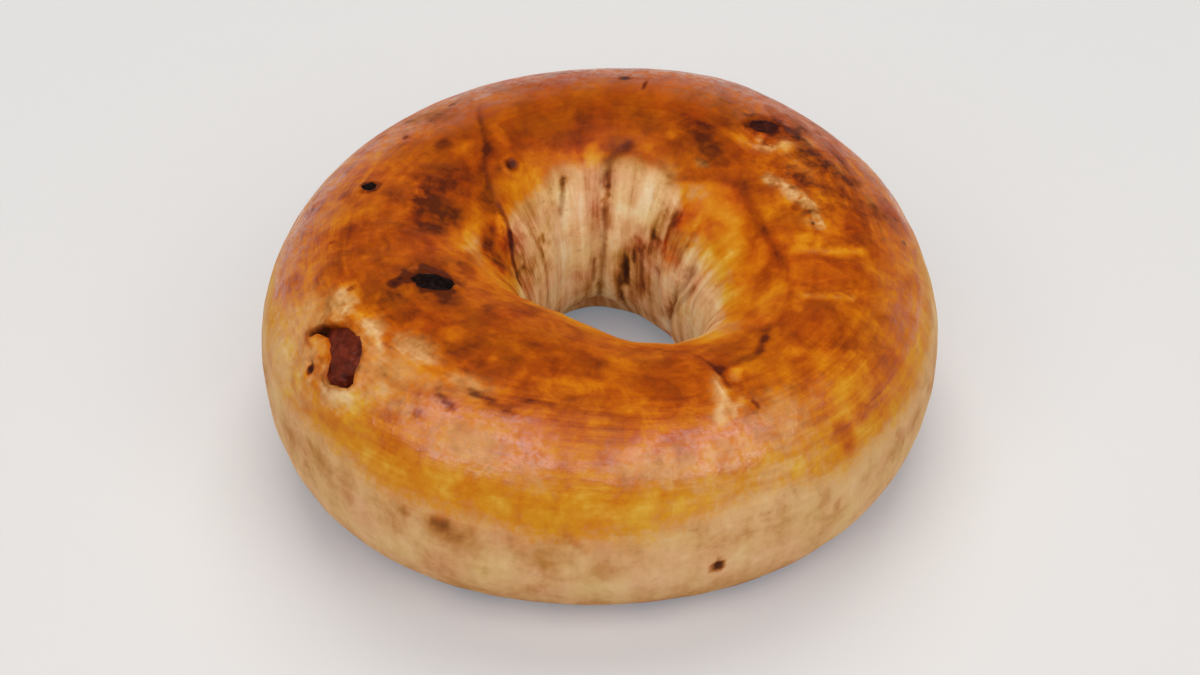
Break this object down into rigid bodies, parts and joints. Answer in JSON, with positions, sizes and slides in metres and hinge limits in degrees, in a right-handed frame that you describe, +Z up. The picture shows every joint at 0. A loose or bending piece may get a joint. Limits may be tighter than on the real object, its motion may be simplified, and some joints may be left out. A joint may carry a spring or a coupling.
{
  "type": "raisin bagel",
  "caption": "Ring-shaped boiled and baked raisin bagel with an uneven shiny crust, a pleated hole wall, a flat foot and raisins set in the crust.",
  "frame": {"origin": "on the surface that the bagel rests on, under the middle of its outline seen from above", "axes": "+Z up through the hole, -Y towards the front, where the lower outside of the ring is seen, +X to the right"},
  "size_m": [0.1102, 0.1078, 0.0431],
  "materials": {
    "baked_crust": "boiled and baked bread crust, golden to chestnut brown on top, pale in the hole and near the foot, glossy",
    "raisin_skin": "dark red-brown wrinkled fruit skin, slightly glossy"
  },
  "bodies": {
    "root": {"bagel": "baked_crust", "raisin_torn_pocket": "raisin_skin", "raisin_crest": "raisin_skin", "raisin_back": "raisin_skin", "raisin_small": "raisin_skin"}
  },
  "joints": []
}
